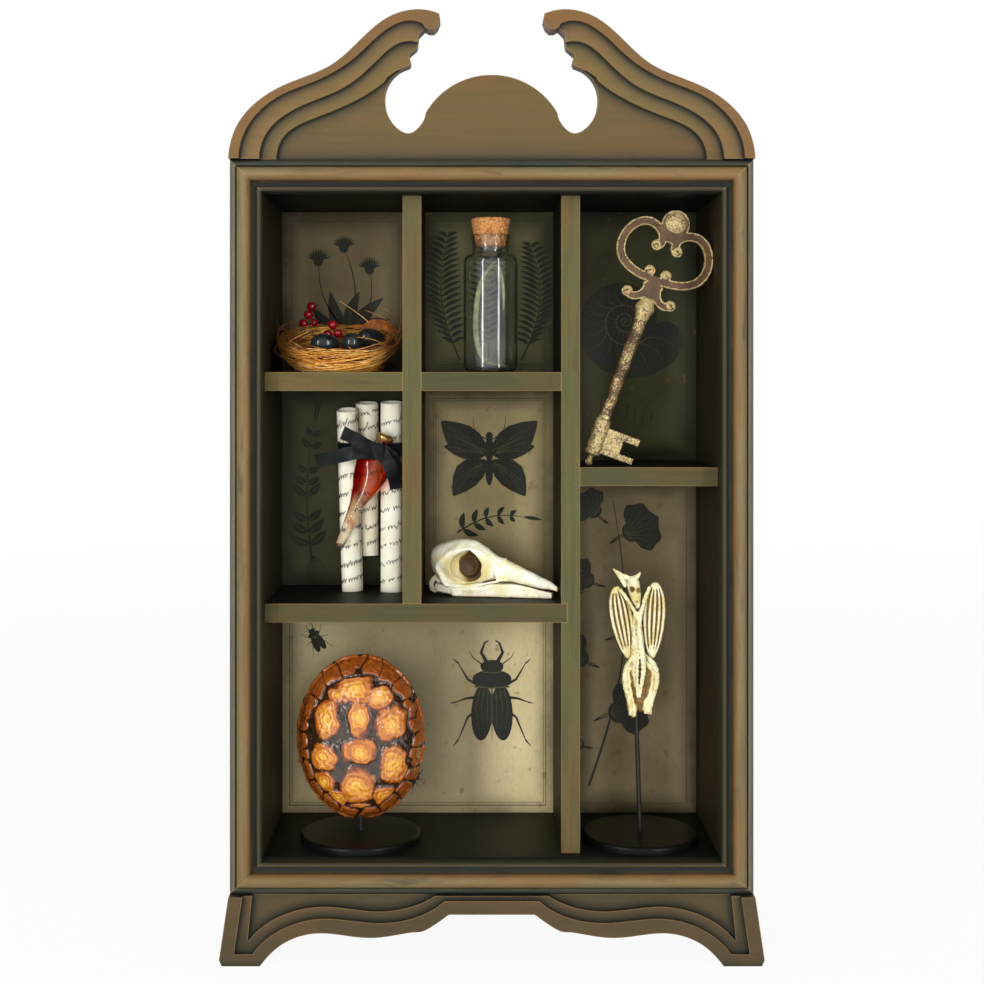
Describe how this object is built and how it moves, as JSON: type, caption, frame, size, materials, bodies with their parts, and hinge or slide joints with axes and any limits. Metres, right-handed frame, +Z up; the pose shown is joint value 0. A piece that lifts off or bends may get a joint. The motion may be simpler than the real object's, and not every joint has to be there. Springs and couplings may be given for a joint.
{
  "type": "curiosity cabinet",
  "caption": "Open wall-height display cabinet with a swan-neck pediment, moulded frame, bracket plinth and shelved cells lined with prints, holding a collection of curios.",
  "frame": {"origin": "on the floor under the middle of the cabinet", "axes": "+Z up, +Y to the back, +X to the right seen from the front"},
  "size_m": [0.362, 0.125, 0.635],
  "materials": {
    "painted_wood": "distressed olive brown paint with copper rubbed through, satin",
    "dark_paint": "near-black olive paint, satin",
    "shelf_paint": "olive paint with brown rubbed edges, satin",
    "hardboard": "plain pressed fibreboard",
    "printed_card": "aged tan card, matte",
    "straw": "golden dried straw",
    "egg_glaze": "blue-black, glossy",
    "berry": "dark red, glossy",
    "clear_glass": "clear blown glass",
    "cork": "natural cork",
    "feather": "pale grey-green vane",
    "antique_brass": "cast, brown patina with gold rubbed on",
    "paper": "cream writing paper, matte",
    "satin": "black satin",
    "red_glass": "red-orange art glass",
    "bone": "cream bone with a brown wash",
    "horn_scute": "amber horn with dark seams, varnished",
    "plastron_horn": "pale horn, varnished",
    "black_lacquer": "black lacquer, glossy",
    "black_wire": "black painted rod"
  },
  "bodies": {
    "cabinet": {"top_cap": "painted_wood", "base_board": "painted_wood", "frame_rail_top": "painted_wood", "frame_rail_bottom": "painted_wood", "frame_stile_left": "painted_wood", "frame_stile_right": "painted_wood", "pediment_board": "painted_wood", "pediment_cleat": "painted_wood", "plinth_panel": "painted_wood", "plinth_band_inner": "painted_wood", "plinth_band_outer": "painted_wood", "plinth_side_left": "painted_wood", "plinth_side_right": "painted_wood", "plinth_back_rail": "painted_wood", "plinth_glue_blocks": "painted_wood", "pediment_layer_front": "painted_wood", "pediment_layer_middle": "painted_wood", "pediment_layer_back": "painted_wood", "case_side_left": "dark_paint", "case_side_right": "dark_paint", "case_top": "dark_paint", "case_bottom": "dark_paint", "divider_left": "shelf_paint", "divider_right": "shelf_paint", "shelf_middle": "shelf_paint", "shelf_right": "shelf_paint", "shelf_upper_left": "shelf_paint", "shelf_upper_centre": "shelf_paint", "back_panel": "hardboard", "plate_top_left": "printed_card", "plate_top_centre": "printed_card", "plate_top_right": "printed_card", "plate_middle_left": "printed_card", "plate_middle_centre": "printed_card", "plate_bottom_left": "printed_card", "plate_bottom_right": "printed_card"},
    "nest_group": {"nest": "straw", "nest_eggs": "egg_glaze", "nest_berries": "berry"},
    "vial": {"vial_glass": "clear_glass", "feather": "feather"},
    "cork_stopper": {"cork": "cork"},
    "key_casting": {"key": "antique_brass"},
    "scroll_bundle": {"scroll_left": "paper", "scroll_middle": "paper", "scroll_right": "paper", "ribbon": "satin", "glass_horn": "red_glass", "gilt_bead": "antique_brass"},
    "bird_skull": {"skull_cranium": "bone", "skull_mandible": "bone"},
    "shell_stand": {"carapace": "horn_scute", "plastron": "plastron_horn", "shell_post": "black_wire", "shell_disc": "black_lacquer"},
    "bat_stand": {"bat_wings": "bone", "bat_body": "bone", "bat_head": "bone", "bat_post": "black_wire", "bat_disc": "black_lacquer"}
  },
  "joints": [
    {"name": "nest_pull", "type": "slide", "parent": "cabinet", "child": "nest_group", "axis": [0, -1, 0], "range_m": [0, 0.115]},
    {"name": "vial_pull", "type": "slide", "parent": "cabinet", "child": "vial", "axis": [0, -1, 0], "range_m": [0, 0.08]},
    {"name": "cork_pull", "type": "slide", "parent": "vial", "child": "cork_stopper", "axis": [0, 0, 1], "range_m": [0, 0.01]},
    {"name": "key_pull", "type": "slide", "parent": "cabinet", "child": "key_casting", "axis": [0, -1, 0], "range_m": [0, 0.055]},
    {"name": "scrolls_pull", "type": "slide", "parent": "cabinet", "child": "scroll_bundle", "axis": [0, -1, 0], "range_m": [0, 0.115]},
    {"name": "skull_pull", "type": "slide", "parent": "cabinet", "child": "bird_skull", "axis": [0, -1, 0], "range_m": [0, 0.095]},
    {"name": "shell_pull", "type": "slide", "parent": "cabinet", "child": "shell_stand", "axis": [0, -1, 0], "range_m": [0, 0.105]},
    {"name": "bat_pull", "type": "slide", "parent": "cabinet", "child": "bat_stand", "axis": [0, -1, 0], "range_m": [0, 0.105]}
  ]
}
